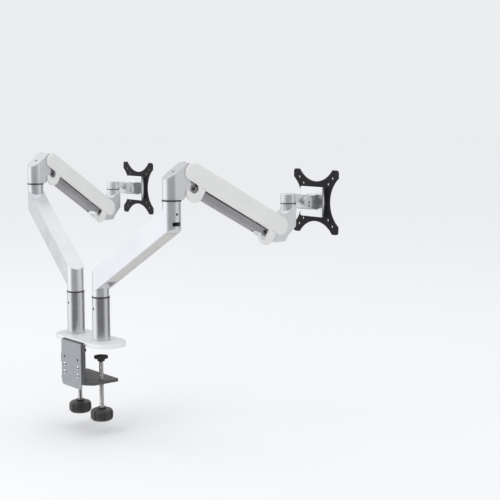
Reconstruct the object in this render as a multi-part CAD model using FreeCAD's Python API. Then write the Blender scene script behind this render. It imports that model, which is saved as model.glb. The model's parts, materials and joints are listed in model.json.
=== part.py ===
import FreeCAD, Part
import math
import os

os.makedirs("parts", exist_ok=True)

V = FreeCAD.Vector

# ---------------------------------------------------------------- fits and clearances
run_fit = 0.06          # radial gap of a pin or spindle that turns in its bore
slip_gap = 0.4          # radial gap round a fixed part that passes through a cover
side_gap = 1.0          # sideways gap between a link and the wall beside it
skin = 1.0              # metal left behind a blind pin hole
pin_end_gap = 0.2       # gap between the end of a pin and the floor of its blind hole
past = 1.0              # how far a cutting or joining body runs past the face it meets

# ---------------------------------------------------------------- base on the desk
post_spacing = 102.0
cover_radius = 42.0
cover_past_post = 12.0
cover_half = post_spacing / 2 + cover_past_post
cover_top = 10.0
cover_foot = 0.5
cover_round = 3.0
pad_thick = 1.5
base_plate_thick = 6.0
base_plate_inset = 4.0
plate_top = pad_thick + base_plate_thick

# ---------------------------------------------------------------- desk clamp
desk_thick = 25.0
desk_edge_y = -cover_radius
clamp_shift = 7.0       # base and clamp sit this far to the right of the middle of the posts
back_leg_thick = 5.0
back_plate_thick = 3.0
back_plate_half = 39.5
back_plate_round = 9.0
back_plate_top = 5.0
back_plate_bottom = -94.0
hole_column = 26.5
hole_rows = (-31.0, -48.0, -65.0)
bracket_screw_radius = 3.0
bracket_screw_head = 5.0
bracket_screw_dome = 3.0
bracket_screw_key = 1.8
jaw_drop = 51.0
jaw_top = -(desk_thick + jaw_drop)
jaw_thick = 7.0
jaw_half = 62.0
jaw_tip_half = 62.0
jaw_reach = 29.0
jaw_flare = 11.0
leg_half = 46.0
leg_lug = 7.0
leg_lug_top = -24.0
leg_lug_bottom = -46.0
leg_bend = 4.0
clamp_screw_spacing = 88.0
clamp_screw_y = -2.0
clamp_screw_radius = 5.0
clamp_screw_length = 139.0
clamp_pad_radius = 15.0
clamp_pad_thick = 5.0
clamp_pad_socket = 3.0
clamp_collar_wall = 3.0
clamp_collar_height = 6.0
screw_point = 2.0
knob_radius = 24.3
knob_height = 25.0
knob_round = 8.0
knob_neck_wall = 4.0
knob_neck_height = 4.0
knob_scallops = 8
knob_scallop_radius = 4.5
knob_scallop_bite = 0.45

# ---------------------------------------------------------------- posts and lower arm
ring_height = 103.0     # middle of the washer between post and lower arm, above the desk
ring_half = 1.5
ring_radius = 19.3
post_radius = 19.0
spindle_radius = 10.0
spindle_length = 34.0
set_screw_radius = 2.5
set_screw_length = 8.0
set_screw_sink = 1.2
set_screw_key = 0.5
set_screw_key_deep = 3.5
post_screw_drop = 24.0

hub_radius = 18.0
lower_length = 268.0
lower_rise = 222.0
lower_top_start = 60.0
lower_under_start = 12.0
lower_end_drop = 15.5
# rise of the inclined part for each millimetre forward
lower_slope = (lower_rise - lower_end_drop - lower_top_start) / lower_length
lower_hub_tuck = 20.0
lower_wall = 4.5
arm_screw_drop = 26.0
cable_window_half = 9.0
cable_window_drop = 49.0
cable_window_height = 8.0
cable_window_low = lower_rise - cable_window_drop
cable_window_high = cable_window_low + cable_window_height
cable_slot_end = 46.0
cover_strip_half = 12.5
cover_strip_thick = 2.5
cover_strip_gap = 0.3
cover_strip_end_gap = 3.0
cover_rib_inset = 10.0
cover_rib_depth = 9.0
cover_rib_thick = 2.0
elbow_spigot_length = 30.0
spigot_floor = 4.0
spigot_end_gap = 2.0

# ---------------------------------------------------------------- elbow bracket
elbow_radius = 18.0
elbow_half = 18.0
shoulder_forward = 39.0
shoulder_up = 53.0
link_drop = 31.0
block_rise = 18.5
block_short = 7.5
block_back = shoulder_forward - block_short
block_top = shoulder_up + block_rise
block_step = 2.0
slant_low = 40.5
slant_forward = 27.0
under_slant_forward = 27.0
under_slant_up = 15.5
boss_upper = 15.0
boss_lower = 8.5
ear_half = 13.5
pin_radius = 4.0
spring_pin_drop = 16.0
spring_slot_half = 8.0
spring_slot_gap = 0.6
spring_slot_ease = 1.8   # corner taken off the floor of the slot, where the rod comes lowest
tension_radius = 3.0
tension_up = -1.5
tension_length = 11.0
tension_sink = 2.5
tension_key = 1.4
tension_key_deep = 6.0

# ---------------------------------------------------------------- spring arm
droop = 30.0            # forward fall that the shell and brackets are shaped for, degrees
lift_low = 10.0         # how far it swings down from there, degrees
pivot_length = 190.0
nose_past_pivot = 43.0
nose_length = pivot_length + nose_past_pivot
shell_radius = 20.0
shell_half = 22.5
shell_wall = 3.5
shell_edge_round = 6.0
lobe_radius = 18.5
lobe_drop = 39.5        # middle of each lobe, below the pivot at the shaping fall
lobe_rim = 4.0          # hook left round the end of the link
link_window_low = 35.0  # lower edge of the window for the link, below the middle of the shell
notch_half = 9.5
notch_back = 1.0
shell_room_depth = 60.0
shell_top_wall = 4.0
shell_top_start = 2.0
shell_top_short = 2.0
link_half = 17.0
link_wall = 3.0
link_half_height = 7.0
link_edge_round = 2.9
link_web_start = 15.0
link_end_past = 20.0

spring_front_back = 26.0
spring_front = pivot_length - spring_front_back
spring_front_y = -2.0
spring_tube_radius = 11.0
spring_tube_start = 20.0
spring_tube_length = 98.0
spring_rod_radius = 4.5
spring_eye_radius = 8.0
spring_eye_half = 6.0
spring_eye_play = 2.2
spring_eye_swing = 6.0
spring_neck_share = 0.55
spring_end_wall = 4.0
spring_rod_inside = 30.0

# ---------------------------------------------------------------- front bracket and head
pan_forward = 70.0
pan_up = 22.5
pan_radius = 16.0
pan_ring_half = 1.0
pan_ring_radius = 16.3
front_boss = 11.5
front_low_boss = 9.0
front_boss_lean = 12.0
front_nose = 8.0
front_nose_top = 18.0
front_nose_low = -24.0
front_chin = -54.0
front_chin_back = 20.0
front_heel_back = 50.0
front_cheek_back = 11.0
front_saddle_back = 24.0
front_saddle = 1.0
front_cheek = -41.0
pan_spindle_radius = 7.0
pan_spindle_length = 14.0
pan_head_height = 19.5
pan_head_round = 1.5
pan_arm_half = 8.0
pan_arm_drop = 2.5
pan_arm_back = 16.0
pan_arm_neck = 10.0
pan_arm_top_back = 12.0
tilt_forward = 42.0
tilt_radius = 14.0
tongue_half = 8.0
ear_gap = 0.4
fork_half = 14.0
tilt_cap_thick = 3.5
tilt_cap_round = 1.0
tilt_cap_hole = 2.6
tilt_cap_hole_deep = 2.5
tilt_cap_hole_drop = 7.0
tilt_pin_radius = 4.0
fork_base_gap = 2.0
fork_base_thick = 7.0
fork_base_start = tilt_radius + fork_base_gap
fork_base_round = 4.0
fork_base_half_height = 17.0
fork_base_half = 17.0
box_start = fork_base_start + fork_base_thick
box_width = 68.0
box_height = 63.0
box_corner = 4.0
box_rim = 1.5
box_thick = 12.0
plate_start = box_start + box_thick
plate_thick = 3.0
plate_size = 134.0
plate_round = 6.0
plate_arc = 62.0
plate_arc_depth = 25.0
vesa_large = 100.0
vesa_small = 75.0
vesa_hole_radius = 2.5
plate_screw_spacing = 36.0
plate_screw_radius = 2.5
plate_screw_head = 4.5
plate_screw_head_thick = 2.0
plate_screw_sink = 0.2
plate_screw_key = 1.5
plate_screw_length = 10.0
turn_spigot_radius = 8.0
turn_spigot_length = 8.0

# ---------------------------------------------------------------- rest position of each arm
lower_yaw = {"right": -1.5, "left": 168.5}
shell_yaw = {"right": 83.2, "left": 103.6}
rest_fall = {"right": 29.2, "left": 32.6}
head_yaw = 90.0
side_sign = {"right": 1.0, "left": -1.0}


def cylinder_x(y, z, radius, start, end):
    return Part.makeCylinder(radius, end - start, V(start, y, z), V(1, 0, 0))


def cylinder_y(x, z, radius, start, end):
    return Part.makeCylinder(radius, end - start, V(x, start, z), V(0, 1, 0))


def cylinder_z(x, y, radius, start, end):
    return Part.makeCylinder(radius, end - start, V(x, y, start), V(0, 0, 1))


def box(x0, x1, y0, y1, z0, z1):
    return Part.makeBox(x1 - x0, y1 - y0, z1 - z0, V(x0, y0, z0))


def side_plate(points, y0, y1):
    corners = [V(x, y0, z) for x, z in points]
    face = Part.Face(Part.makePolygon(corners + corners[:1]))
    return face.extrude(V(0, y1 - y0, 0))


def floor_plate(points, z0, z1):
    corners = [V(x, y, z0) for x, y in points]
    face = Part.Face(Part.makePolygon(corners + corners[:1]))
    return face.extrude(V(0, 0, z1 - z0))


def oblong(x0, x1, radius, z0, z1):
    body = box(x0, x1, -radius, radius, z0, z1)
    body = body.fuse(cylinder_z(x0, 0, radius, z0, z1))
    body = body.fuse(cylinder_z(x1, 0, radius, z0, z1))
    return body.removeSplitter()


def turned(yaw):
    return FreeCAD.Placement(V(0, 0, 0), FreeCAD.Rotation(V(0, 0, 1), yaw))


def moved(x, y, z):
    return FreeCAD.Placement(V(x, y, z), FreeCAD.Rotation())


def pitched(angle):
    return FreeCAD.Placement(V(0, 0, 0), FreeCAD.Rotation(V(0, 1, 0), angle))


def placed(shape, frame):
    result = shape.copy()
    result.transformShape(frame.toMatrix(), True)
    return result


def edges_where(shape, test):
    return [edge for edge in shape.Edges if test(edge)]


def runs_along(edge, axis):
    if len(edge.Vertexes) != 2:
        return False
    run = edge.Vertexes[1].Point - edge.Vertexes[0].Point
    if run.Length < 1e-6:
        return False
    straight = abs(edge.Length - run.Length) < 1e-6
    return straight and abs(run.normalize().dot(axis)) > 0.999


def save(name, shape):
    shape.exportStep("parts/" + name + ".step")


def save_group(name, shapes):
    Part.makeCompound(shapes).exportStep("parts/" + name + ".step")


# ---------------------------------------------------------------- base pieces
def make_base_cover():
    cover = oblong(clamp_shift - cover_half, clamp_shift + cover_half, cover_radius, cover_foot, cover_top)
    rim = edges_where(cover, lambda e: e.BoundBox.ZMin > cover_top - 0.01)
    cover = cover.makeFillet(cover_round, rim)
    inner = cover_radius - base_plate_inset + slip_gap
    room = oblong(clamp_shift - cover_half, clamp_shift + cover_half, inner, cover_foot - past, plate_top)
    cover = cover.cut(room)
    notch_half = tongue_reach() + slip_gap
    cover = cover.cut(box(clamp_shift - notch_half, clamp_shift + notch_half, -cover_radius - past, 0,
                          cover_foot - past, plate_top))
    for side in side_sign.values():
        hole = cylinder_z(side * post_spacing / 2, 0, post_radius + slip_gap, 0, cover_top + past)
        cover = cover.cut(hole)
    return cover


def tongue_reach():
    return leg_half - leg_lug


def make_base_plate():
    inset = cover_radius - base_plate_inset
    plate = oblong(clamp_shift - cover_half, clamp_shift + cover_half, inset, pad_thick, plate_top)
    tongue = box(clamp_shift - tongue_reach(), clamp_shift + tongue_reach(), desk_edge_y, 0,
                 pad_thick, plate_top)
    plate = plate.fuse(tongue).removeSplitter()
    for side in side_sign.values():
        hole = cylinder_z(side * post_spacing / 2, 0, spindle_radius, 0, plate_top + past)
        plate = plate.cut(hole)
    return plate


def make_base_pad():
    inset = cover_radius - 2 * base_plate_inset
    return oblong(clamp_shift - cover_half, clamp_shift + cover_half, inset, 0, pad_thick)


def make_post(side):
    x = side_sign[side] * post_spacing / 2
    top = ring_height - ring_half
    post = cylinder_z(x, 0, post_radius, plate_top, top)
    post = post.fuse(cylinder_z(x, 0, spindle_radius, pad_thick, plate_top + past))
    post = post.fuse(cylinder_z(x, 0, spindle_radius, top - past, top + spindle_length))
    z = ring_height - post_screw_drop
    recess = cylinder_y(x, z, set_screw_radius, -post_radius - past, -post_radius + set_screw_length)
    return post.cut(recess).removeSplitter()


def make_post_screw(side):
    x = side_sign[side] * post_spacing / 2
    z = ring_height - post_screw_drop
    inner = -post_radius + set_screw_length
    screw = cylinder_y(x, z, set_screw_radius, -post_radius + set_screw_sink, inner)
    key = cylinder_y(x, z, set_screw_radius * set_screw_key, -post_radius, -post_radius + set_screw_key_deep)
    return screw.cut(key)


# ---------------------------------------------------------------- desk clamp pieces
def make_clamp_bracket():
    outer = desk_edge_y - back_leg_thick
    low = jaw_top - jaw_thick
    left = clamp_shift - leg_half
    right = clamp_shift + leg_half
    leg = box(left, right, outer, desk_edge_y, low, plate_top)
    for z0, z1 in ((jaw_top, leg_lug_bottom), (leg_lug_top, plate_top + past)):
        leg = leg.cut(box(left - past, left + leg_lug, outer - past, desk_edge_y + past, z0, z1))
    leg = leg.cut(box(right - leg_lug, right + past, outer - past, desk_edge_y + past,
                      back_plate_top, plate_top + past))
    bend_y = desk_edge_y + jaw_flare
    jaw = floor_plate([
        (left, outer),
        (right, outer),
        (clamp_shift + jaw_half, bend_y),
        (clamp_shift + jaw_tip_half, jaw_reach),
        (clamp_shift - jaw_tip_half, jaw_reach),
        (clamp_shift - jaw_half, bend_y),
    ], low, jaw_top)
    bracket = leg.fuse(jaw).removeSplitter()
    corner = edges_where(bracket, lambda e: runs_along(e, V(1, 0, 0))
                         and abs(e.BoundBox.ZMin - jaw_top) < 0.01
                         and abs(e.BoundBox.YMin - desk_edge_y) < 0.01)
    bracket = bracket.makeFillet(leg_bend, corner)
    for side in side_sign:
        bracket = bracket.cut(cylinder_z(clamp_screw_x(side), clamp_screw_y, clamp_screw_radius + run_fit,
                                         low - past, jaw_top + past))
    for x, row in bracket_holes(hole_rows):
        bracket = bracket.cut(cylinder_y(x, row, bracket_screw_radius, outer - past, desk_edge_y + past))
    return bracket


def clamp_screw_x(side):
    return clamp_shift + side_sign[side] * clamp_screw_spacing / 2


def bracket_holes(rows):
    return [(clamp_shift + sign * hole_column, row) for sign in (-1, 1) for row in rows]


def make_rear_bracket():
    inner = desk_edge_y - back_leg_thick
    outer = inner - back_plate_thick
    plate = box(clamp_shift - back_plate_half, clamp_shift + back_plate_half, outer, inner,
                back_plate_bottom, back_plate_top)
    corners = edges_where(plate, lambda e: runs_along(e, V(0, 1, 0))
                          and e.BoundBox.ZMax < back_plate_bottom + past)
    plate = plate.makeFillet(back_plate_round, corners)
    for x, row in bracket_holes(hole_rows):
        plate = plate.cut(cylinder_y(x, row, bracket_screw_radius, outer - past, inner + past))
    return plate


def make_bracket_screws():
    face = desk_edge_y - back_leg_thick - back_plate_thick
    tip = face - bracket_screw_dome
    reach = (bracket_screw_head ** 2 + bracket_screw_dome ** 2) / (2 * bracket_screw_dome)
    screws = []
    for x, row in bracket_holes(hole_rows[1:]):
        shank = cylinder_y(x, row, bracket_screw_radius, face - past / 2, desk_edge_y)
        ball = Part.makeSphere(reach, V(x, tip + reach, row))
        dome = ball.common(cylinder_y(x, row, bracket_screw_head, tip - past, face))
        socket = cylinder_y(x, row, bracket_screw_key, tip - past, tip + bracket_screw_key)
        screws.append(shank.fuse(dome).cut(socket))
    return screws


def clamp_screw_top():
    return -desk_thick - clamp_pad_thick + clamp_pad_socket


def make_clamp_screw(side):
    x = clamp_screw_x(side)
    shoulder = clamp_screw_top() - screw_point
    bottom = clamp_screw_top() - clamp_screw_length
    screw = cylinder_z(x, clamp_screw_y, clamp_screw_radius, bottom, shoulder)
    tip = Part.makeCone(clamp_screw_radius, clamp_screw_radius - screw_point * 0.75, screw_point,
                        V(x, clamp_screw_y, shoulder), V(0, 0, 1))
    return screw.fuse(tip)


def make_clamp_pad(side):
    x = clamp_screw_x(side)
    under = -desk_thick - clamp_pad_thick
    low = under - clamp_collar_height
    pad = cylinder_z(x, clamp_screw_y, clamp_pad_radius, under, -desk_thick)
    collar = cylinder_z(x, clamp_screw_y, clamp_screw_radius + clamp_collar_wall, low, under)
    seat = cylinder_z(x, clamp_screw_y, clamp_screw_radius + run_fit, low - past, clamp_screw_top())
    return pad.fuse(collar).cut(seat)


def make_clamp_knob(side):
    x = clamp_screw_x(side)
    bottom = clamp_screw_top() - clamp_screw_length
    top = bottom + knob_height
    knob = cylinder_z(x, clamp_screw_y, knob_radius, bottom, top)
    rims = edges_where(knob, lambda e: len(e.Vertexes) == 1)
    knob = knob.makeFillet(knob_round, rims)
    for index in range(knob_scallops):
        angle = 2 * math.pi * (index + 0.5) / knob_scallops
        reach = knob_radius + knob_scallop_radius * knob_scallop_bite
        knob = knob.cut(cylinder_z(x + reach * math.cos(angle), clamp_screw_y + reach * math.sin(angle),
                                   knob_scallop_radius, bottom - past, top + past))
    neck_top = top + knob_neck_height
    neck = cylinder_z(x, clamp_screw_y, clamp_screw_radius + knob_neck_wall, top - past, neck_top)
    bore = cylinder_z(x, clamp_screw_y, clamp_screw_radius, bottom, neck_top + past)
    return knob.fuse(neck).cut(bore)


# ---------------------------------------------------------------- lower arm pieces
def make_post_washer():
    ring = cylinder_z(0, 0, ring_radius, -ring_half, ring_half)
    return ring.cut(cylinder_z(0, 0, spindle_radius + slip_gap, -ring_half - past, ring_half + past))


def lower_side(raise_under, lower_top, x0, x1):
    def under(x):
        return lower_under_start + raise_under + lower_slope * x

    def top(x):
        return lower_top_start - lower_top + lower_slope * x

    return [(x0, under(x0)), (x1, under(x1)), (x1, top(x1)), (x0, top(x0))]


def make_lower_arm():
    plan = oblong(0, lower_length, hub_radius, 0, lower_rise)
    reach = hub_radius + past
    bar = side_plate(lower_side(0, 0, -reach, lower_length + reach), -hub_radius, hub_radius)
    arm = bar.common(plan)
    low_top = lower_top_start - lower_hub_tuck
    arm = arm.fuse(cylinder_z(0, 0, hub_radius, ring_half, low_top))
    high_start = lower_under_start + lower_slope * lower_length + lower_hub_tuck
    arm = arm.fuse(cylinder_z(lower_length, 0, hub_radius, high_start, lower_rise - ring_half))
    arm = arm.removeSplitter()
    cavity = side_plate(lower_side(-past, lower_wall, reach, lower_length),
                        -cover_strip_half, cover_strip_half)
    arm = arm.cut(cavity)
    well = cylinder_z(lower_length, 0, cover_strip_half, cable_window_low,
                      lower_rise - elbow_spigot_length - spigot_floor)
    arm = arm.cut(well)
    window = box(lower_length, lower_length + reach, -cable_window_half, cable_window_half,
                 cable_window_low, cable_window_high)
    arm = arm.cut(window)
    arm = arm.cut(cylinder_z(0, 0, spindle_radius + run_fit, 0, spindle_length + spigot_end_gap))
    arm = arm.cut(cylinder_z(lower_length, 0, spindle_radius + run_fit,
                             lower_rise - elbow_spigot_length - spigot_floor - past, lower_rise))
    outer = lower_length + hub_radius
    hole = cylinder_x(0, lower_rise - arm_screw_drop, set_screw_radius, arm_screw_inner(), outer + past)
    return arm.cut(hole)


def arm_screw_inner():
    return lower_length + spindle_radius + side_gap / 2


def make_arm_screw():
    z = lower_rise - arm_screw_drop
    outer = lower_length + hub_radius
    screw = cylinder_x(0, z, set_screw_radius, arm_screw_inner(), outer - set_screw_sink)
    key = cylinder_x(0, z, set_screw_radius * set_screw_key, outer - set_screw_key_deep, outer)
    return screw.cut(key)


def make_cable_cover():
    half = cover_strip_half - cover_strip_gap
    start = cable_slot_end
    end = lower_length - cover_strip_end_gap
    strip = cover_bar(start, end, 0, cover_strip_thick, -half, half)
    for y in (-half + past, half - past - cover_rib_thick):
        rib = cover_bar(start + cover_rib_inset, end - cover_rib_inset, cover_strip_thick / 2,
                        cover_rib_depth, y, y + cover_rib_thick)
        strip = strip.fuse(rib)
    return strip.removeSplitter()


def cover_bar(x0, x1, low, high, y0, y1):
    z0 = lower_under_start + lower_slope * x0
    z1 = lower_under_start + lower_slope * x1
    return side_plate([(x0, z0 + low), (x1, z1 + low), (x1, z1 + high), (x0, z0 + high)], y0, y1)


# ---------------------------------------------------------------- elbow pieces
def make_elbow_washer():
    ring = cylinder_z(0, 0, ring_radius, -ring_half, ring_half)
    return ring.cut(cylinder_z(0, 0, spindle_radius + slip_gap, -ring_half - past, ring_half + past))


def make_elbow_bracket():
    low_z = shoulder_up - link_drop
    column = cylinder_z(0, 0, elbow_radius, ring_half, block_top)
    block = side_plate([
        (0, ring_half),
        (elbow_radius - past, ring_half),
        (under_slant_forward, under_slant_up),
        (block_back + block_step, low_z - boss_lower + past),
        (block_back + block_step, low_z + pin_radius),
        (block_back, shoulder_up),
        (block_back, block_top),
        (0, block_top),
    ], -elbow_half, elbow_half)
    body = column.fuse(block).removeSplitter()
    above = block_top + elbow_radius
    slant = side_plate([
        (-elbow_radius - past, slant_low - past),
        (slant_forward, block_top),
        (slant_forward, above),
        (-elbow_radius - past, above),
    ], -elbow_half - past, elbow_half + past)
    body = body.cut(slant)
    upper = cylinder_y(shoulder_forward, shoulder_up, boss_upper, -elbow_half, elbow_half)
    lower = cylinder_y(shoulder_forward, low_z, boss_lower, -ear_half, ear_half)
    web = box(block_back - block_step, shoulder_forward + pin_radius + past, -ear_half, ear_half,
              low_z, shoulder_up)
    body = body.fuse(upper).fuse(lower).fuse(web)
    for y0, y1 in link_ear_spans():
        body = body.cut(cylinder_y(shoulder_forward, low_z, link_half_height + side_gap, y0, y1))
    body = body.cut(spring_slot(low_z))
    body = body.fuse(cylinder_z(0, 0, spindle_radius, -elbow_spigot_length, ring_half + past))
    for z in (shoulder_up, low_z, shoulder_up - spring_pin_drop):
        body = body.cut(cylinder_y(shoulder_forward, z, pin_radius, -elbow_half - past, elbow_half + past))
    bore = cylinder_z(0, 0, tension_radius, -tension_sink - tension_length - side_gap, block_top)
    return body.cut(placed(bore, slant_frame())).removeSplitter()


def spring_slot(low_z):
    back = shoulder_forward - spring_eye_radius - spring_eye_swing
    front = shoulder_forward + boss_upper + past
    top = shoulder_up - pin_radius - spring_slot_gap
    floor = low_z + pin_radius + spring_slot_gap
    slot = box(back, front, -spring_slot_half, spring_slot_half, floor, top)
    clear_x = shoulder_forward + pin_radius + spring_slot_gap
    mouth = box(clear_x, front, -spring_slot_half, spring_slot_half, low_z - boss_lower - past, top)
    corner = side_plate([
        (clear_x - spring_slot_ease - past, floor + past),
        (clear_x + past, floor + past),
        (clear_x + past, floor - spring_slot_ease - past),
    ], -spring_slot_half, spring_slot_half)
    return slot.fuse(mouth).fuse(corner)


def link_ear_spans():
    return [(-elbow_half - past, -ear_half), (ear_half, elbow_half + past)]


def slant_frame():
    run = slant_forward + elbow_radius
    rise = block_top - slant_low
    tilt = math.degrees(math.atan2(rise, run))
    middle = moved((slant_forward - elbow_radius) / 2, 0, (block_top + slant_low) / 2)
    return middle.multiply(pitched(-tilt)).multiply(moved(tension_up, 0, 0))


def make_tension_screw():
    low = -tension_sink - tension_length
    screw = cylinder_z(0, 0, tension_radius - run_fit, low, -tension_sink)
    key = cylinder_z(0, 0, tension_key, -tension_key_deep, 0)
    return placed(screw.cut(key), slant_frame())


def make_rear_pins():
    low_z = shoulder_up - link_drop
    reach = shell_half - skin - pin_end_gap
    upper = cylinder_y(shoulder_forward, shoulder_up, pin_radius, -reach, reach)
    lower = cylinder_y(shoulder_forward, low_z, pin_radius, -link_half, link_half)
    spring = cylinder_y(shoulder_forward, shoulder_up - spring_pin_drop, pin_radius,
                        -elbow_half, elbow_half)
    return [upper, lower, spring]


# ---------------------------------------------------------------- spring arm pieces
def below_pivot(drop):
    angle = math.radians(droop)
    return drop * math.sin(angle), -drop * math.cos(angle)


def link_window(y0, y1):
    lobe_x, lobe_z = below_pivot(lobe_drop)
    x = lobe_x + pivot_length
    low = lobe_z - lobe_radius
    cup = cylinder_y(x, lobe_z, lobe_radius - lobe_rim, y0, y1)
    cup = cup.common(box(x - lobe_radius, x, y0, y1, low, -shell_radius))
    return cup.fuse(box(x - lobe_radius - past, x, y0, y1, -link_window_low, -shell_radius))


def shell_outline(y0, y1):
    side = cylinder_y(0, 0, shell_radius, y0, y1)
    side = side.fuse(box(0, nose_length, y0, y1, -shell_radius, shell_radius))
    side = side.fuse(cylinder_y(nose_length, 0, shell_radius, y0, y1))
    return side.removeSplitter()


def lobe_wall(y0, y1):
    # the lobes hang from the wall on the local -Y side only
    lobe_x, lobe_z = below_pivot(lobe_drop)
    wall = None
    for x in (lobe_x, lobe_x + pivot_length):
        lobe = cylinder_y(x, lobe_z, lobe_radius, y0, y1)
        lobe = lobe.fuse(box(x - lobe_radius, x + lobe_radius, y0, y1, lobe_z, -shell_radius + past))
        wall = lobe if wall is None else wall.fuse(lobe)
    return wall.cut(link_window(y0 - past, y1 + past))


def rear_notch(y0, y1):
    low_x, low_z = below_pivot(link_drop)
    x = low_x - notch_back
    notch = cylinder_y(x, low_z, notch_half, y0, y1)
    return notch.fuse(box(x - 2 * lobe_radius, x, y0, y1, low_z - notch_half, low_z + notch_half))


def make_upper_shell():
    solid = shell_outline(-shell_half, shell_half)
    crown = edges_where(solid, lambda e: runs_along(e, V(1, 0, 0))
                        and e.BoundBox.ZMin > shell_radius - 0.01)
    solid = solid.makeFillet(shell_edge_round, crown)
    inner_half = shell_half - shell_wall
    back = -shell_radius - past
    front = nose_length + shell_radius + past
    room = box(back, front, -inner_half, inner_half, -shell_room_depth, shell_radius - shell_top_wall)
    shell = solid.cut(room)
    top_end = pivot_length - shell_top_short
    for x0, x1 in ((back, shell_top_start), (top_end, front)):
        shell = shell.cut(box(x0, x1, -inner_half, inner_half, 0, shell_radius + past))
    shell = shell.fuse(lobe_wall(-shell_half, -inner_half))
    shell = shell.cut(rear_notch(-shell_half - past, shell_half + past)).removeSplitter()
    reach = shell_half - skin
    shell = shell.cut(cylinder_y(0, 0, pin_radius + run_fit, -reach, reach))
    shell = shell.cut(cylinder_y(pivot_length, 0, pin_radius + run_fit, -reach, reach))
    shell = shell.cut(cylinder_y(spring_front, spring_front_y, pin_radius + run_fit, -reach, reach))
    return shell


def make_lower_link():
    outline = cylinder_y(0, 0, link_half_height, -link_half, link_half)
    outline = outline.fuse(box(0, pivot_length, -link_half, link_half,
                               -link_half_height, link_half_height))
    outline = outline.fuse(cylinder_y(pivot_length, 0, link_half_height, -link_half, link_half))
    outline = outline.removeSplitter()
    edges = edges_where(outline, lambda e: runs_along(e, V(1, 0, 0))
                        and e.BoundBox.ZMax < -link_half_height + 0.01)
    outline = outline.makeFillet(link_edge_round, edges)
    inner = link_half - link_wall
    back = -link_end_past
    front = pivot_length + link_end_past
    link = outline.cut(box(back, front, -inner, inner, -link_half_height + link_wall, link_end_past))
    for x0, x1 in ((back, link_web_start), (pivot_length - link_web_start, front)):
        link = link.cut(box(x0, x1, -inner, inner, -link_end_past, link_end_past))
    for x in (0, pivot_length):
        link = link.cut(cylinder_y(x, 0, pin_radius + run_fit, -link_half - past, link_half + past))
    return link


def spring_frame(side):
    fall = math.radians(rest_fall[side])
    eye_x = spring_pin_drop * math.sin(fall)
    eye_z = -spring_pin_drop * math.cos(fall)
    back = V(spring_front - eye_x, 0, spring_front_y - eye_z)
    pitch = math.degrees(math.atan2(-back.z, back.x))
    return moved(spring_front, 0, spring_front_y).multiply(pitched(pitch)), back.Length


def make_spring_tube():
    end = -spring_tube_start
    tube = cylinder_x(0, 0, spring_tube_radius, end - spring_tube_length, end)
    bore = cylinder_x(0, 0, spring_rod_radius + run_fit, end - spring_tube_length - past,
                      end - spring_end_wall)
    tube = tube.cut(bore)
    neck = cylinder_x(0, 0, spring_tube_radius * spring_neck_share, end - past, -pin_radius)
    eye = cylinder_y(0, 0, spring_eye_radius, -spring_eye_half, spring_eye_half)
    reach = shell_half - skin - pin_end_gap
    pin = cylinder_y(0, 0, pin_radius, -reach, reach)
    return tube.fuse(neck).fuse(eye).fuse(pin).removeSplitter()


def make_spring_rod(side):
    length = spring_frame(side)[1]
    rod = cylinder_x(0, 0, spring_rod_radius, -length + pin_radius, -spring_tube_start - spring_rod_inside)
    eye = cylinder_y(-length, 0, spring_eye_radius, -spring_eye_half, spring_eye_half)
    reach = spring_eye_half + past
    hole = cylinder_y(-length, 0, pin_radius + spring_eye_play, -reach, reach)
    return rod.fuse(eye).cut(hole).removeSplitter()


# ---------------------------------------------------------------- front bracket and head pieces
def make_front_bracket():
    top = pan_up - pan_ring_half
    body = side_plate([
        (-front_low_boss, -link_drop),
        (-front_boss + past, 0),
        (0, front_boss - past / 2),
        (front_boss_lean, front_boss - past),
        (pan_forward - front_saddle_back, front_saddle),
        (pan_forward + front_nose, front_nose_top),
        (pan_forward + front_nose - past, front_nose_low),
        (pan_forward - front_cheek_back, front_cheek),
        (pan_forward - front_chin_back, front_chin),
        (pan_forward - front_heel_back, front_chin),
        (0, -link_drop - front_low_boss),
    ], -elbow_half, elbow_half)
    body = body.fuse(cylinder_y(0, 0, front_boss, -elbow_half, elbow_half))
    body = body.fuse(cylinder_y(0, -link_drop, front_low_boss, -elbow_half, elbow_half))
    body = body.fuse(cylinder_z(pan_forward, 0, pan_radius, 0, top))
    body = body.fuse(cylinder_z(pan_forward, 0, pan_spindle_radius, top - past, top + pan_spindle_length))
    reach = link_half_height + side_gap
    for y0, y1 in link_ear_spans():
        body = body.cut(cylinder_y(0, -link_drop, front_low_boss + side_gap, y0, y1))
        sweep = box(-link_drop, 0, y0, y1, -reach, reach)
        for fall in (droop + lift_low, droop + lift_low / 2, droop):
            body = body.cut(placed(sweep, moved(0, 0, -link_drop).multiply(pitched(fall))))
    for z in (0, -link_drop):
        body = body.cut(cylinder_y(0, z, pin_radius, -elbow_half - past, elbow_half + past))
    return body.removeSplitter()


def make_front_pins():
    reach = shell_half - skin - pin_end_gap
    upper = cylinder_y(0, 0, pin_radius, -reach, reach)
    lower = cylinder_y(0, -link_drop, pin_radius, -link_half, link_half)
    return [upper, lower]


def make_pan_washer():
    ring = cylinder_z(0, 0, pan_ring_radius, -pan_ring_half, pan_ring_half)
    reach = pan_ring_half + past
    return ring.cut(cylinder_z(0, 0, pan_spindle_radius + slip_gap, -reach, reach))


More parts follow.
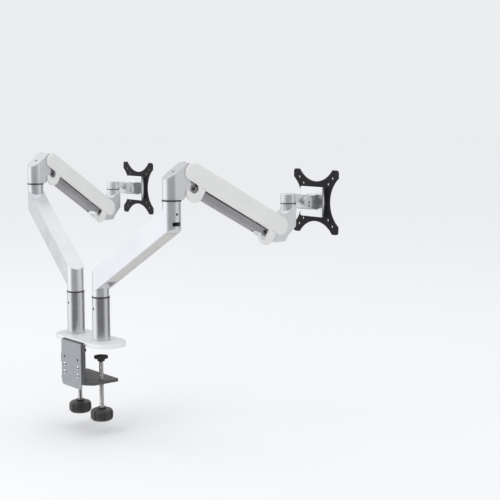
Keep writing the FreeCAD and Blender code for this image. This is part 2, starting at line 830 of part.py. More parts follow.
def make_pan_head():
    start = pan_ring_half
    body = cylinder_z(0, 0, pan_radius, start, pan_head_height)
    rim = edges_where(body, lambda e: e.BoundBox.ZMin > pan_head_height - 0.01)
    body = body.makeFillet(pan_head_round, rim)
    arm_top = pan_head_height - pan_arm_drop
    arm = side_plate([
        (0, start),
        (tilt_forward - pan_arm_back, start),
        (tilt_forward - pan_arm_neck, -tilt_radius + pan_arm_drop),
        (tilt_forward, -tilt_radius),
        (tilt_forward, tilt_radius),
        (tilt_forward - pan_arm_top_back, arm_top),
        (0, arm_top),
    ], -pan_arm_half, pan_arm_half)
    body = body.fuse(arm)
    body = body.fuse(cylinder_y(tilt_forward, 0, tilt_radius, -tongue_half, tongue_half))
    body = body.cut(cylinder_z(0, 0, pan_spindle_radius + run_fit, 0, pan_spindle_length + skin / 2))
    body = body.cut(cylinder_y(tilt_forward, 0, tilt_pin_radius + run_fit,
                               -tongue_half - past, tongue_half + past))
    return body.removeSplitter()


def make_tilt_block():
    base = box(fork_base_start, box_start, -fork_base_half, fork_base_half,
               -fork_base_half_height, fork_base_half_height)
    corners = edges_where(base, lambda e: runs_along(e, V(1, 0, 0)))
    base = base.makeFillet(fork_base_round, corners)
    inner = tongue_half + ear_gap
    for y0, y1 in ((-fork_half, -inner), (inner, fork_half)):
        ear = cylinder_y(0, 0, tilt_radius, y0, y1)
        ear = ear.fuse(box(0, fork_base_start + past, y0, y1, -tilt_radius, tilt_radius))
        base = base.fuse(ear)
    base = base.fuse(cylinder_x(0, 0, turn_spigot_radius, box_start - past, box_start + turn_spigot_length))
    pin = cylinder_y(0, 0, tilt_pin_radius, -fork_half, fork_half)
    return base.fuse(pin).removeSplitter()


def make_tilt_cap():
    cap = cylinder_y(0, 0, tilt_radius, -fork_half - tilt_cap_thick, -fork_half)
    rim = edges_where(cap, lambda e: len(e.Vertexes) == 1 and e.BoundBox.YMax < -fork_half - past)
    cap = cap.makeFillet(tilt_cap_round, rim)
    for drop in (0.0, tilt_cap_hole_drop):
        cap = cap.cut(cylinder_y(0, -drop, tilt_cap_hole, -fork_half - tilt_cap_thick - past,
                                 -fork_half - tilt_cap_thick + tilt_cap_hole_deep))
    return cap


def make_mount_box():
    case = box(box_start, plate_start, -box_width / 2, box_width / 2, -box_height / 2, box_height / 2)
    corners = edges_where(case, lambda e: runs_along(e, V(1, 0, 0)))
    case = case.makeFillet(box_corner, corners)
    rim = edges_where(case, lambda e: e.BoundBox.XMax < box_start + 0.01)
    case = case.makeFillet(box_rim, rim)
    case = case.cut(cylinder_x(0, 0, turn_spigot_radius + run_fit, box_start - past,
                               box_start + turn_spigot_length + skin / 2))
    for y, z in corner_points(plate_screw_spacing):
        case = case.cut(cylinder_x(y, z, plate_screw_radius, plate_screw_end() - skin, plate_start + past))
    return case


def plate_screw_end():
    return plate_start + plate_thick - plate_screw_length


def corner_points(spacing):
    half = spacing / 2
    return [(-half, -half), (half, -half), (-half, half), (half, half)]


def make_vesa_plate():
    half = plate_size / 2
    end = plate_start + plate_thick
    plate = box(plate_start, end, -half, half, -half, half)
    corners = edges_where(plate, lambda e: runs_along(e, V(1, 0, 0)))
    plate = plate.makeFillet(plate_round, corners)
    reach = half + plate_arc - plate_arc_depth
    for y, z in ((reach, 0), (-reach, 0), (0, reach), (0, -reach)):
        plate = plate.cut(cylinder_x(y, z, plate_arc, plate_start - past, end + past))
    for spacing in (vesa_large, vesa_small):
        for y, z in corner_points(spacing):
            plate = plate.cut(cylinder_x(y, z, vesa_hole_radius, plate_start - past, end + past))
    for y, z in corner_points(plate_screw_spacing):
        plate = plate.cut(cylinder_x(y, z, plate_screw_radius, plate_start - past, end + past))
        plate = plate.cut(cylinder_x(y, z, plate_screw_head, end - plate_screw_head_thick, end + past))
    return plate


def make_plate_screws():
    end = plate_start + plate_thick
    screws = []
    for y, z in corner_points(plate_screw_spacing):
        seat = end - plate_screw_head_thick
        shank = cylinder_x(y, z, plate_screw_radius, plate_screw_end(), seat + past / 2)
        head = cylinder_x(y, z, plate_screw_head, seat, end - plate_screw_sink)
        key = cylinder_x(y, z, plate_screw_key, seat + plate_screw_sink, end)
        screws.append(shank.fuse(head).cut(key))
    return screws


# ---------------------------------------------------------------- where each piece sits
def arm_frames(side):
    x = side_sign[side] * post_spacing / 2
    lower = moved(x, 0, ring_height).multiply(turned(lower_yaw[side]))
    elbow_at = lower.multVec(V(lower_length, 0, lower_rise))
    elbow = FreeCAD.Placement(elbow_at, turned(shell_yaw[side]).Rotation)
    fall = pitched(rest_fall[side])
    shell = elbow.multiply(moved(shoulder_forward, 0, shoulder_up)).multiply(fall)
    link = elbow.multiply(moved(shoulder_forward, 0, shoulder_up - link_drop)).multiply(fall)
    front_at = shell.multVec(V(pivot_length, 0, 0))
    front = FreeCAD.Placement(front_at, turned(shell_yaw[side]).Rotation)
    pan_at = front.multVec(V(pan_forward, 0, pan_up))
    pan = FreeCAD.Placement(pan_at, turned(head_yaw).Rotation)
    tilt = pan.multiply(moved(tilt_forward, 0, 0))
    return {"lower": lower, "elbow": elbow, "shell": shell, "link": link, "front": front,
            "pan": pan, "tilt": tilt, "spring": shell.multiply(spring_frame(side)[0])}


def build_base():
    save("base_cover", make_base_cover())
    save("base_plate", make_base_plate())
    save("base_pad", make_base_pad())
    save("clamp_bracket", make_clamp_bracket())
    save("rear_bracket", make_rear_bracket())
    save_group("bracket_screws", make_bracket_screws())
    save_group("post_screws", [make_post_screw("left"), make_post_screw("right")])
    for side in side_sign:
        save(side + "_post", make_post(side))
        save(side + "_clamp_screw", make_clamp_screw(side))
        save(side + "_clamp_pad", make_clamp_pad(side))
        save(side + "_clamp_knob", make_clamp_knob(side))


def build_arm(side):
    frames = arm_frames(side)
    single = {
        "post_washer": ("lower", make_post_washer),
        "lower_arm": ("lower", make_lower_arm),
        "arm_screw": ("lower", make_arm_screw),
        "cable_cover": ("lower", make_cable_cover),
        "elbow_washer": ("elbow", make_elbow_washer),
        "elbow_bracket": ("elbow", make_elbow_bracket),
        "tension_screw": ("elbow", make_tension_screw),
        "upper_shell": ("shell", make_upper_shell),
        "lower_link": ("link", make_lower_link),
        "spring_tube": ("spring", make_spring_tube),
        "front_bracket": ("front", make_front_bracket),
        "pan_washer": ("pan", make_pan_washer),
        "pan_head": ("pan", make_pan_head),
        "tilt_block": ("tilt", make_tilt_block),
        "tilt_cap": ("tilt", make_tilt_cap),
        "mount_box": ("tilt", make_mount_box),
        "vesa_plate": ("tilt", make_vesa_plate),
    }
    for name, (frame, maker) in single.items():
        save(side + "_" + name, placed(maker(), frames[frame]))
    save(side + "_spring_rod", placed(make_spring_rod(side), frames["spring"]))
    groups = {
        "rear_pins": ("elbow", make_rear_pins),
        "front_pins": ("front", make_front_pins),
        "plate_screws": ("tilt", make_plate_screws),
    }
    for name, (frame, maker) in groups.items():
        save_group(side + "_" + name, [placed(piece, frames[frame]) for piece in maker()])


build_base()
for arm_side in side_sign:
    build_arm(arm_side)
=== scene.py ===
import json
import math
import bpy
import bmesh
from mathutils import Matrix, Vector


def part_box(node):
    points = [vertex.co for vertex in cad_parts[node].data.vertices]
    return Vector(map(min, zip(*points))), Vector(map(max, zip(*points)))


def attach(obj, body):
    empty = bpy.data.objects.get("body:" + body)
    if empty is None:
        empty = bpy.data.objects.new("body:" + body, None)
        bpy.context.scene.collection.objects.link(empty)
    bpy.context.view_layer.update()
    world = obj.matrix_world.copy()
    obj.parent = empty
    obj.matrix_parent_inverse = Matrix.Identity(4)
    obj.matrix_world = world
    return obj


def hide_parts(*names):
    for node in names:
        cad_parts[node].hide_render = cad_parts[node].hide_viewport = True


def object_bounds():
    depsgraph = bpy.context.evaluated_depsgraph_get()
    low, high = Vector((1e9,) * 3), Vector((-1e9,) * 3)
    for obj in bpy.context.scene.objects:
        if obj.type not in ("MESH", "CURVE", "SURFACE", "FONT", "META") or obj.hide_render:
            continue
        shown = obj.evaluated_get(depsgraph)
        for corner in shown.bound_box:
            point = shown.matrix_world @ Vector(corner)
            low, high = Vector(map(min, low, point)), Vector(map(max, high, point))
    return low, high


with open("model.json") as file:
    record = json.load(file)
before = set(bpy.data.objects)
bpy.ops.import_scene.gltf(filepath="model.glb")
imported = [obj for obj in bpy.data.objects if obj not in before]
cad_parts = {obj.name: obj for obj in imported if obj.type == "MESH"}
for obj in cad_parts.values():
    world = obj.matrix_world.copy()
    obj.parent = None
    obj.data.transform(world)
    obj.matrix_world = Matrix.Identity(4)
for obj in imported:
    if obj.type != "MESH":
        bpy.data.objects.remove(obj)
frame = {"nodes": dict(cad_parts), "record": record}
cadLow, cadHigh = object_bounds()
nodes = frame["nodes"]
sides = ("left", "right")
print("frame loaded with", len(nodes), "pieces")


# camera, looking at the arms from behind the desk and a little above
viewpoint = {
    "place": (2.0166, -1.2484, 0.4855),
    "turn": 49.72,      # degrees from +Y towards -X
    "fall": 6.97,       # degrees below the horizon
    "lens": 78.8,
    "sensor": 36.0,
}


def levelDirection(turn):
    angle = math.radians(turn)
    return Vector((-math.sin(angle), math.cos(angle), 0.0))


def setCamera(spec):
    fall = math.radians(spec["fall"])
    gaze = levelDirection(spec["turn"]) * math.cos(fall) - Vector((0, 0, math.sin(fall)))
    lens = bpy.data.cameras.new("camera")
    lens.lens = spec["lens"]
    lens.sensor_width = spec["sensor"]
    lens.clip_start = 0.05
    lens.clip_end = 60.0
    camera = bpy.data.objects.new("camera", lens)
    camera.location = spec["place"]
    camera.rotation_mode = "QUATERNION"
    camera.rotation_quaternion = gaze.to_track_quat("-Z", "Y")
    bpy.context.scene.collection.objects.link(camera)
    bpy.context.scene.camera = camera


setCamera(viewpoint)
bpy.context.scene.view_settings.view_transform = "Standard"
print("camera set")


# shader node helpers
def addNode(tree, kind, place, **settings):
    node = tree.nodes.new(kind)
    node.location = place
    for key, value in settings.items():
        setattr(node, key, value)
    return node


def newGroup(name, inputs, outputs):
    group = bpy.data.node_groups.new(name, "ShaderNodeTree")
    for label, start in inputs:
        socket = group.interface.new_socket(name=label, in_out="INPUT", socket_type="NodeSocketFloat")
        socket.default_value = start
    for label in outputs:
        group.interface.new_socket(name=label, in_out="OUTPUT", socket_type="NodeSocketFloat")
    entry = addNode(group, "NodeGroupInput", (-900, 0))
    leave = addNode(group, "NodeGroupOutput", (700, 0))
    return group, entry, leave


def mathNode(tree, operation, place, first, second, clamp=False):
    node = addNode(tree, "ShaderNodeMath", place, operation=operation, use_clamp=clamp)
    for socket, value in zip(node.inputs, (first, second)):
        if hasattr(value, "links"):
            tree.links.new(value, socket)
        else:
            socket.default_value = value
    return node.outputs[0]


# fine grain of powder coat and cast metal: a height for bumps and a slow change of tone
def makeGrainGroup():
    group, entry, leave = newGroup("surface grain", (("Grain Size", 0.0006), ("Patch Size", 0.05)),
                                   ("Height", "Tone"))
    coord = addNode(group, "ShaderNodeTexCoord", (-900, 300))
    grainScale = mathNode(group, "DIVIDE", (-700, 0), 1.0, entry.outputs["Grain Size"])
    patchScale = mathNode(group, "DIVIDE", (-700, -200), 1.0, entry.outputs["Patch Size"])
    fine = addNode(group, "ShaderNodeTexNoise", (-400, 200))
    fine.inputs["Detail"].default_value = 3.0
    fine.inputs["Roughness"].default_value = 0.6
    slow = addNode(group, "ShaderNodeTexNoise", (-400, -150))
    slow.inputs["Detail"].default_value = 4.0
    slow.inputs["Distortion"].default_value = 0.3
    for node, scale in ((fine, grainScale), (slow, patchScale)):
        group.links.new(coord.outputs["Object"], node.inputs["Vector"])
        group.links.new(scale, node.inputs["Scale"])
    tone = mathNode(group, "MULTIPLY_ADD", (0, -150), slow.outputs["Fac"], 2.2, True)
    tone.node.inputs[2].default_value = -0.6
    group.links.new(fine.outputs["Fac"], leave.inputs["Height"])
    group.links.new(tone, leave.inputs["Tone"])
    return group


# lines left by turning or brushing, tight along one axis and long along the others
def makeLineGroup():
    group, entry, leave = newGroup("tool lines", (("Along X", 30.0), ("Along Y", 30.0), ("Along Z", 1500.0)),
                                   ("Height", "Tone"))
    coord = addNode(group, "ShaderNodeTexCoord", (-900, 300))
    axes = addNode(group, "ShaderNodeCombineXYZ", (-700, 0))
    for axis, label in zip("XYZ", ("Along X", "Along Y", "Along Z")):
        group.links.new(entry.outputs[label], axes.inputs[axis])
    stretch = addNode(group, "ShaderNodeVectorMath", (-500, 200), operation="MULTIPLY")
    group.links.new(coord.outputs["Object"], stretch.inputs[0])
    group.links.new(axes.outputs[0], stretch.inputs[1])
    lines = addNode(group, "ShaderNodeTexNoise", (-250, 200))
    lines.inputs["Scale"].default_value = 1.0
    lines.inputs["Detail"].default_value = 4.0
    broad = addNode(group, "ShaderNodeTexNoise", (-250, -100))
    broad.inputs["Scale"].default_value = 14.0
    group.links.new(stretch.outputs[0], lines.inputs["Vector"])
    group.links.new(coord.outputs["Object"], broad.inputs["Vector"])
    tone = mathNode(group, "MULTIPLY", (100, 0), lines.outputs["Fac"], broad.outputs["Fac"])
    tone = mathNode(group, "MULTIPLY", (300, 0), tone, 3.0, True)
    group.links.new(lines.outputs["Fac"], leave.inputs["Height"])
    group.links.new(tone, leave.inputs["Tone"])
    return group


# painted edge highlight: lightens the eased edges, from the edge attribute that the softened castings carry,
# broken up by noise
def makeEdgeHighlightGroup():
    group, entry, leave = newGroup("painted edge highlight", (("Breakup Size", 0.008), ("Amount", 0.6)), ("Mask",))
    coord = addNode(group, "ShaderNodeTexCoord", (-900, 300))
    edge = addNode(group, "ShaderNodeAttribute", (-700, 400), attribute_name="edge")
    scale = mathNode(group, "DIVIDE", (-700, 0), 1.0, entry.outputs["Breakup Size"])
    noise = addNode(group, "ShaderNodeTexNoise", (-400, 0))
    noise.inputs["Detail"].default_value = 5.0
    group.links.new(coord.outputs["Object"], noise.inputs["Vector"])
    group.links.new(scale, noise.inputs["Scale"])
    spread = mathNode(group, "MULTIPLY_ADD", (-150, 0), noise.outputs["Fac"], 1.6, True)
    spread.node.inputs[2].default_value = -0.2
    mask = mathNode(group, "MULTIPLY", (100, 100), edge.outputs["Fac"], spread)
    mask = mathNode(group, "MULTIPLY", (300, 100), mask, entry.outputs["Amount"], True)
    group.links.new(mask, leave.inputs["Mask"])
    return group


# thin dust on what faces up
def makeDustGroup():
    group, entry, leave = newGroup("settled dust", (("Patch Size", 0.03), ("Amount", 0.2)), ("Mask",))
    coord = addNode(group, "ShaderNodeTexCoord", (-900, 300))
    facing = addNode(group, "ShaderNodeNewGeometry", (-900, -200))
    split = addNode(group, "ShaderNodeSeparateXYZ", (-700, -200))
    group.links.new(facing.outputs["Normal"], split.inputs[0])
    up = addNode(group, "ShaderNodeMapRange", (-500, -200))
    up.inputs["From Min"].default_value = 0.5
    up.inputs["From Max"].default_value = 0.95
    group.links.new(split.outputs["Z"], up.inputs["Value"])
    scale = mathNode(group, "DIVIDE", (-700, 0), 1.0, entry.outputs["Patch Size"])
    noise = addNode(group, "ShaderNodeTexNoise", (-400, 100))
    noise.inputs["Detail"].default_value = 6.0
    group.links.new(coord.outputs["Object"], noise.inputs["Vector"])
    group.links.new(scale, noise.inputs["Scale"])
    mask = mathNode(group, "MULTIPLY", (0, 0), noise.outputs["Fac"], up.outputs[0])
    mask = mathNode(group, "MULTIPLY", (300, 0), mask, entry.outputs["Amount"], True)
    group.links.new(mask, leave.inputs["Mask"])
    return group


grainGroup = makeGrainGroup()
lineGroup = makeLineGroup()
edgeHighlightGroup = makeEdgeHighlightGroup()
dustGroup = makeDustGroup()
print("surface groups made")

# one entry for each finish: colour where the tone is low and high, colour of the painted highlight on eased
# edges, and how the surface is worked
finishes = {
    "cover_white": {
        "low": (0.80, 0.805, 0.82), "high": (0.86, 0.865, 0.875), "rough": (0.30, 0.42),
        "metal": 0.0, "grain": 0.0009, "bump": 0.03, "edgeHighlight": (0.95, 0.95, 0.95), "edgeHighlightAmount": 0.5,
        "coat": 0.15
    },
    "satin_aluminium": {
        "low": (0.66, 0.665, 0.68), "high": (0.78, 0.785, 0.80), "rough": (0.24, 0.34),
        "metal": 1.0, "grain": 0.0005, "bump": 0.02, "edgeHighlight": (0.95, 0.95, 0.96), "edgeHighlightAmount": 0.7,
        "lines": (40.0, 40.0, 900.0), "lineBump": 0.015
    },
    "arm_silver": {
        "low": (0.79, 0.80, 0.825), "high": (0.86, 0.868, 0.888), "rough": (0.26, 0.36),
        "metal": 0.75, "grain": 0.0007, "bump": 0.04, "edgeHighlight": (0.97, 0.97, 0.98), "edgeHighlightAmount": 0.8
    },
    "cover_grey": {
        "low": (0.55, 0.54, 0.51), "high": (0.62, 0.61, 0.58), "rough": (0.45, 0.6), "metal": 0.0,
        "grain": 0.0008, "bump": 0.05, "edgeHighlight": (0.75, 0.74, 0.72), "edgeHighlightAmount": 0.4
    },
    "shell_grey": {
        "low": (0.75, 0.75, 0.735), "high": (0.80, 0.80, 0.785), "rough": (0.42, 0.55),
        "metal": 0.05, "grain": 0.0009, "bump": 0.05, "edgeHighlight": (0.86, 0.86, 0.86), "edgeHighlightAmount": 0.6
    },
    "link_grey": {
        "low": (0.27, 0.27, 0.28), "high": (0.36, 0.36, 0.37), "rough": (0.32, 0.45), "metal": 0.35,
        "grain": 0.0007, "bump": 0.04, "edgeHighlight": (0.55, 0.55, 0.55), "edgeHighlightAmount": 0.6
    },
    "zinc_plate": {
        "low": (0.31, 0.33, 0.35), "high": (0.42, 0.44, 0.46), "rough": (0.38, 0.55), "metal": 0.55,
        "grain": 0.0014, "bump": 0.06, "edgeHighlight": (0.7, 0.71, 0.72), "edgeHighlightAmount": 0.6, "patch": 0.006
    },
    "black_steel": {
        "low": (0.014, 0.0145, 0.016), "high": (0.022, 0.0225, 0.024), "rough": (0.4, 0.55),
        "metal": 0.0, "shine": 0.12, "grain": 0.0006, "bump": 0.08, "edgeHighlight": (0.16, 0.15, 0.15),
        "edgeHighlightAmount": 0.5
    },
    "black_plastic": {
        "low": (0.030, 0.030, 0.031), "high": (0.046, 0.046, 0.047), "rough": (0.32, 0.48),
        "metal": 0.0, "grain": 0.0006, "bump": 0.06, "edgeHighlight": (0.1, 0.1, 0.1), "edgeHighlightAmount": 0.4
    },
    "black_rubber": {
        "low": (0.018, 0.018, 0.018), "high": (0.035, 0.035, 0.035), "rough": (0.7, 0.85),
        "metal": 0.0, "grain": 0.0012, "bump": 0.12, "edgeHighlight": (0.08, 0.08, 0.08), "edgeHighlightAmount": 0.3
    },
    "bright_steel": {
        "low": (0.55, 0.55, 0.55), "high": (0.72, 0.72, 0.72), "rough": (0.16, 0.28), "metal": 1.0,
        "grain": 0.0004, "bump": 0.02, "edgeHighlight": (0.9, 0.9, 0.9), "edgeHighlightAmount": 0.5,
        "lines": (60.0, 60.0, 1600.0), "lineBump": 0.02
    },
    # lighter copy of the black steel, a painted sheen standing in for the light that the clamp bracket's jaw
    # catches
    "lit_black_steel": {
        "low": (0.070, 0.069, 0.070), "high": (0.10, 0.099, 0.10), "rough": (0.38, 0.52),
        "metal": 0.0, "grain": 0.0006, "bump": 0.08, "edgeHighlight": (0.22, 0.22, 0.22), "edgeHighlightAmount": 0.5
    },
    "cast_silver": {
        "low": (0.76, 0.765, 0.785), "high": (0.84, 0.845, 0.86), "rough": (0.28, 0.38),
        "metal": 0.72, "grain": 0.0006, "bump": 0.03, "edgeHighlight": (0.96, 0.96, 0.97), "edgeHighlightAmount": 0.7
    },
    "dark_steel": {
        "low": (0.045, 0.045, 0.05), "high": (0.09, 0.09, 0.095), "rough": (0.3, 0.45),
        "metal": 0.8, "grain": 0.0005, "bump": 0.04, "edgeHighlight": (0.35, 0.35, 0.36), "edgeHighlightAmount": 0.5
    },
    "box_silver": {
        "low": (0.72, 0.725, 0.74), "high": (0.82, 0.825, 0.84), "rough": (0.16, 0.26),
        "metal": 1.0, "grain": 0.0005, "bump": 0.015, "edgeHighlight": (0.96, 0.96, 0.97), "edgeHighlightAmount": 0.8,
        "lines": (700.0, 30.0, 30.0), "lineBump": 0.01
    },
}


def colourMix(tree, place, first, second, factor):
    node = addNode(tree, "ShaderNodeMix", place, data_type="RGBA")
    for socket, value in ((node.inputs[6], first), (node.inputs[7], second)):
        if hasattr(value, "links"):
            tree.links.new(value, socket)
        else:
            socket.default_value = (*value, 1.0)
    tree.links.new(factor, node.inputs[0])
    return node.outputs[2]


def placedGroup(tree, group, place, **values):
    node = addNode(tree, "ShaderNodeGroup", place, node_tree=group)
    for label, value in values.items():
        node.inputs[label.replace("_", " ")].default_value = value
    return node


# how deep the worked surface is, in metres, and what settles on it
surface = {
    "grainDepth": 0.0004,
    "lineDepth": 0.0003,
    "coatRough": 0.3,
    "shine": 0.5,
    "patch": 0.05,
    "dustAmount": 0.12,
    "dustColour": (0.62, 0.60, 0.57),
}


def makeFinish(name, spec):
    material = bpy.data.materials.new(name + "_finish")
    material.use_nodes = True
    tree = material.node_tree
    shader = tree.nodes["Principled BSDF"]
    shader.inputs["Metallic"].default_value = spec["metal"]
    shader.inputs["Coat Weight"].default_value = spec.get("coat", 0.0)
    shader.inputs["Coat Roughness"].default_value = surface["coatRough"]
    shader.inputs["Specular IOR Level"].default_value = spec.get("shine", surface["shine"])
    grain = placedGroup(tree, grainGroup, (-1100, 0), Grain_Size=spec["grain"],
                        Patch_Size=spec.get("patch", surface["patch"]))
    tone = grain.outputs["Tone"]
    bump = addNode(tree, "ShaderNodeBump", (-300, -400))
    bump.inputs["Strength"].default_value = spec["bump"]
    bump.inputs["Distance"].default_value = surface["grainDepth"]
    tree.links.new(grain.outputs["Height"], bump.inputs["Height"])
    normal = bump.outputs["Normal"]
    if "lines" in spec:
        alongX, alongY, alongZ = spec["lines"]
        lines = placedGroup(tree, lineGroup, (-1100, -300),
                            Along_X=alongX, Along_Y=alongY, Along_Z=alongZ)
        tone = mathNode(tree, "MULTIPLY_ADD", (-850, -100), lines.outputs["Tone"], 0.5)
        half = mathNode(tree, "MULTIPLY", (-950, -50), grain.outputs["Tone"], 0.5)
        tree.links.new(half, tone.node.inputs[2])
        lineBump = addNode(tree, "ShaderNodeBump", (-100, -400))
        lineBump.inputs["Strength"].default_value = spec["lineBump"]
        lineBump.inputs["Distance"].default_value = surface["lineDepth"]
        tree.links.new(lines.outputs["Height"], lineBump.inputs["Height"])
        tree.links.new(normal, lineBump.inputs["Normal"])
        normal = lineBump.outputs["Normal"]
    # painted highlight: the edge mask lightens the eased edges towards the finish's highlight colour, mixed
    # in below
    edgeHighlight = placedGroup(tree, edgeHighlightGroup, (-1100, 300), Amount=spec["edgeHighlightAmount"])
    dust = placedGroup(tree, dustGroup, (-1100, 500), Amount=surface["dustAmount"])
    colour = colourMix(tree, (-700, 100), spec["low"], spec["high"], tone)
    colour = colourMix(tree, (-500, 150), colour, spec["edgeHighlight"], edgeHighlight.outputs["Mask"])
    colour = colourMix(tree, (-300, 200), colour, surface["dustColour"], dust.outputs["Mask"])
    rough = addNode(tree, "ShaderNodeMapRange", (-500, -150))
    rough.inputs["To Min"].default_value = spec["rough"][0]
    rough.inputs["To Max"].default_value = spec["rough"][1]
    tree.links.new(tone, rough.inputs["Value"])
    tree.links.new(colour, shader.inputs["Base Color"])
    tree.links.new(rough.outputs[0], shader.inputs["Roughness"])
    tree.links.new(normal, shader.inputs["Normal"])
    return material


materials = {name: makeFinish(name, spec) for name, spec in finishes.items()}
slotOf = {part["node"]: part["material_slot"] for part in frame["record"]["subparts"]}
lookOf = dict(slotOf)     # what each piece is painted with, where it differs from its slot
for side in sides:
    for ending in ("elbow_bracket", "front_bracket", "pan_head"):
        lookOf[side + "_" + ending] = "cast_silver"
# the clamp bracket takes the lighter copy of black steel, a painted sheen
lookOf["clamp_bracket"] = "lit_black_steel"
bodyOf = {name: body for body, members in frame["record"]["behaviour"]["bodies"].items() for name in members}
for name, node in nodes.items():
    for slot in node.material_slots:
        slot.material = materials[lookOf[name]]
print("finishes made:", len(materials))


def newPiece(name, bm, body, look):
    mesh = bpy.data.meshes.new(name)
    bm.to_mesh(mesh)
    bm.free()
    mesh.materials.append(materials[look])
    piece = bpy.data.objects.new(name, mesh)
    bpy.context.scene.collection.objects.link(piece)
    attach(piece, body)
    return piece


def smoothed(piece, weight):
    for polygon in piece.data.polygons:
        polygon.use_smooth = True
    even = piece.modifiers.new("even shading", "WEIGHTED_NORMAL")
    even.weight = weight
    even.keep_sharp = True


# castings and plates whose sharp edges are eased: node ending, widest edge asked for, steps
# the bevel's overlap guard holds a whole piece to its tightest spot, so most castings get far less
# than the width given here, and a larger number changes nothing on them
softEdges = {
    "lower_arm": {"width": 0.0016, "steps": 3},
    "elbow_bracket": {"width": 0.0020, "steps": 3},
    "upper_shell": {"width": 0.0012, "steps": 3},
    "lower_link": {"width": 0.0006, "steps": 2},
    "front_bracket": {"width": 0.0016, "steps": 3},
    "pan_head": {"width": 0.0010, "steps": 3},
    "tilt_block": {"width": 0.0007, "steps": 3},
    "mount_box": {"width": 0.0014, "steps": 3},
    "vesa_plate": {"width": 0.0004, "steps": 2},
    "cable_cover": {"width": 0.0005, "steps": 2},
    "post": {"width": 0.0006, "steps": 2},
    "base_cover": {"width": 0.0005, "steps": 2},
    "base_plate": {"width": 0.0006, "steps": 2},
    "clamp_bracket": {"width": 0.0008, "steps": 2},
    "rear_bracket": {"width": 0.0005, "steps": 2},
}


# all castings: points nearer than weld are one, flat and sharp are angles in degrees
casting = {"weld": 2e-6, "flat": 0.3, "sharp": 28.0, "shading": 60}


def softenEdges(name, spec):
    bm = bmesh.new()
    bm.from_mesh(nodes[name].data)
    edgeMark = bm.faces.layers.float.new("edge")
    bmesh.ops.remove_doubles(bm, verts=bm.verts, dist=casting["weld"])
    bmesh.ops.dissolve_limit(bm, angle_limit=math.radians(casting["flat"]), verts=bm.verts, edges=bm.edges)
    limit = math.radians(casting["sharp"])
    sharp = [edge for edge in bm.edges if edge.is_manifold and edge.calc_face_angle() > limit]
    made = bmesh.ops.bevel(bm, geom=sharp, offset=spec["width"], offset_type="OFFSET", segments=spec["steps"],
                           profile=0.5, affect="EDGES", clamp_overlap=True, material=-1)
    # the new bevel faces carry the edge mark, which the finishes use for a painted highlight
    for face in made["faces"]:
        face[edgeMark] = 1.0
    piece = newPiece(name + "_finished", bm, bodyOf[name], lookOf[name])
    smoothed(piece, casting["shading"])
    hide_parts(name)
    return piece


for ending, spec in softEdges.items():
    names = [ending] if ending in nodes else [side + "_" + ending for side in sides]
    for name in names:
        softenEdges(name, spec)
print("edges eased, as far as each piece allows, on", len(softEdges), "kinds of casting and plate")

# clamp screws with a real thread of 3 mm pitch
thread = {
    "pitch": 0.003,
    "steps": 24,
    "root": 0.0042,
    "crest": 0.00497,
    "riseStart": 0.2,     # these three are shares of the pitch
    "crestStart": 0.45,
    "crestEnd": 0.75,
    "shading": 30,
}


def threadClampScrew(side):
    low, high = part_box(side + "_clamp_screw")
    centre = (low + high) / 2
    turns = int((high.z - low.z) / thread["pitch"]) - 1
    pitch = thread["pitch"]
    bm = bmesh.new()
    profile = [(thread["root"], 0.0), (thread["root"], pitch * thread["riseStart"]),
               (thread["crest"], pitch * thread["crestStart"]), (thread["crest"], pitch * thread["crestEnd"]),
               (thread["root"], pitch)]
    verts = [bm.verts.new((centre.x + radius, centre.y, low.z + rise)) for radius, rise in profile]
    edges = [bm.edges.new(pair) for pair in zip(verts, verts[1:])]
    bmesh.ops.spin(bm, geom=verts + edges, cent=centre, axis=(0, 0, 1), angle=2 * math.pi * turns,
                   dvec=(0, 0, pitch / thread["steps"]), steps=thread["steps"] * turns, use_merge=False)
    bmesh.ops.remove_doubles(bm, verts=bm.verts, dist=casting["weld"])
    bmesh.ops.holes_fill(bm, edges=[edge for edge in bm.edges if edge.is_boundary], sides=0)
    bmesh.ops.triangulate(bm, faces=[face for face in bm.faces if len(face.verts) > 4])
    bmesh.ops.recalc_face_normals(bm, faces=bm.faces)
    body = bodyOf[side + "_clamp_screw"]
    piece = newPiece(side + "_clamp_thread", bm, body, "bright_steel")
    smoothed(piece, thread["shading"])
    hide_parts(side + "_clamp_screw")


for side in sides:
    threadClampScrew(side)
print("clamp screws threaded")


# studio: pale floor, pale surroundings and soft lights
ground = {
    "radius": 40.0,
    "sides": 96,
    "drop": 0.030,     # leaves room under the knobs when the clamps are wound fully open
    "colour": (0.94, 0.94, 0.94, 1),
    "rough": 0.9,
}


def makeFloor():
    bm = bmesh.new()
    bmesh.ops.create_circle(bm, cap_ends=True, segments=ground["sides"], radius=ground["radius"])
    bmesh.ops.translate(bm, verts=bm.verts, vec=(0, 0, cadLow.z - ground["drop"]))
    mesh = bpy.data.meshes.new("floor")
    bm.to_mesh(mesh)
    bm.free()
    material = bpy.data.materials.new("pale_floor")
    material.use_nodes = True
    shader = material.node_tree.nodes["Principled BSDF"]
    shader.inputs["Base Color"].default_value = ground["colour"]
    shader.inputs["Roughness"].default_value = ground["rough"]
    mesh.materials.append(material)
    floor = bpy.data.objects.new("floor", mesh)
    floor.visible_glossy = False     # polished metal mirrors the dark card, not the floor
    bpy.context.scene.collection.objects.link(floor)


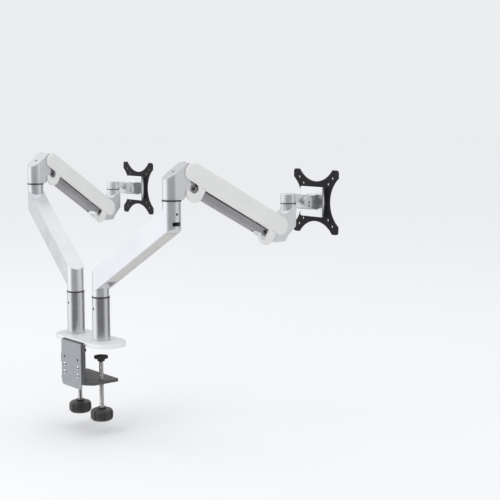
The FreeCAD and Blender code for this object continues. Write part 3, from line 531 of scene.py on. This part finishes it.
# how bright the surroundings are: as seen directly, as soft fill, and as polished metal mirrors them
studio = {
    "tint": (0.97, 0.98, 1.0),
    "backdrop": 0.865,
    "fill": 0.92,
    "mirrorLeft": 1.15,
    "sideEdge": (-0.5, 0.5),
    "mirrorRight": 0.72,
    "mirrorFront": 0.18,     # the dark card in front of the arms
    "cardEdge": (0.35, 0.80),
    "mirrorBack": 0.60,
    "backEdge": (0.25, 0.75),
    "mirrorFlag": 0.20,      # a dark flag to the right, about where the screens hang
    "flagTurn": 121.0,       # degrees right of the camera
    "flagEdge": (0.87, 0.96),
    "mirrorTop": 0.95,
    "topEdge": (0.45, 0.80),
}


def blendLevels(tree, place, first, second, factor):
    node = addNode(tree, "ShaderNodeMix", place, data_type="FLOAT")
    for socket, value in ((node.inputs[2], first), (node.inputs[3], second), (node.inputs[0], factor)):
        if hasattr(value, "links"):
            tree.links.new(value, socket)
        else:
            socket.default_value = value
    return node.outputs[0]


def alongDirection(tree, coord, direction, edges, place):
    dot = addNode(tree, "ShaderNodeVectorMath", place, operation="DOT_PRODUCT")
    dot.inputs[1].default_value = direction
    tree.links.new(coord, dot.inputs[0])
    ramp = addNode(tree, "ShaderNodeMapRange", (place[0] + 200, place[1]), interpolation_type="SMOOTHSTEP")
    ramp.inputs["From Min"].default_value, ramp.inputs["From Max"].default_value = edges
    tree.links.new(dot.outputs["Value"], ramp.inputs["Value"])
    return ramp.outputs[0]


def makeSurroundings(spec):
    world = bpy.data.worlds.new("studio")
    bpy.context.scene.world = world
    world.use_nodes = True
    tree = world.node_tree
    background = tree.nodes["Background"]
    background.inputs["Color"].default_value = (*spec["tint"], 1)
    coord = addNode(tree, "ShaderNodeTexCoord", (-1300, 0)).outputs["Generated"]
    towards = -levelDirection(viewpoint["turn"])
    rightward = levelDirection(viewpoint["turn"] - 90)
    side = alongDirection(tree, coord, rightward, spec["sideEdge"], (-1100, 300))
    card = alongDirection(tree, coord, towards, spec["cardEdge"], (-1100, 0))
    top = alongDirection(tree, coord, (0, 0, 1), spec["topEdge"], (-1100, -300))
    mirror = blendLevels(tree, (-650, 300), spec["mirrorLeft"], spec["mirrorRight"], side)
    mirror = blendLevels(tree, (-450, 200), mirror, spec["mirrorFront"], card)
    back = alongDirection(tree, coord, -towards, spec["backEdge"], (-1100, -600))
    mirror = blendLevels(tree, (-350, 100), mirror, spec["mirrorBack"], back)
    turn = math.radians(spec["flagTurn"])
    aside = towards * math.cos(turn) + rightward * math.sin(turn)
    flag = alongDirection(tree, coord, aside, spec["flagEdge"], (-1100, -900))
    mirror = blendLevels(tree, (-300, 100), mirror, spec["mirrorFlag"], flag)
    mirror = blendLevels(tree, (-250, 100), mirror, spec["mirrorTop"], top)
    ray = addNode(tree, "ShaderNodeLightPath", (-700, -300))
    level = blendLevels(tree, (-100, 0), spec["fill"], mirror, ray.outputs["Is Glossy Ray"])
    level = blendLevels(tree, (50, 0), level, spec["backdrop"], ray.outputs["Is Camera Ray"])
    tree.links.new(level, background.inputs["Strength"])


lights = {
    "key": {"place": (0.2, -2.4, 2.2), "aim": (0, 0, 0.2), "size": 1.6, "power": 12.0},
    "side": {"place": (-2.6, -1.0, 1.6), "aim": (0, 0, 0.2), "size": 1.6, "power": 5.0},
    "top": {"place": (0.6, 0.4, 3.0), "aim": (0, 0, 0.2), "size": 2.5, "power": 6.0},
}


def makeLight(name, spec):
    lamp = bpy.data.lights.new(name, "AREA")
    lamp.shape = "DISK"
    lamp.size = spec["size"]
    lamp.energy = spec["power"]
    light = bpy.data.objects.new(name, lamp)
    light.location = spec["place"]
    light.rotation_mode = "QUATERNION"
    light.rotation_quaternion = (Vector(spec["aim"]) - Vector(spec["place"])).to_track_quat("-Z", "Y")
    bpy.context.scene.collection.objects.link(light)


makeFloor()
makeSurroundings(studio)
for name, spec in lights.items():
    makeLight(name, spec)
print("studio lit")
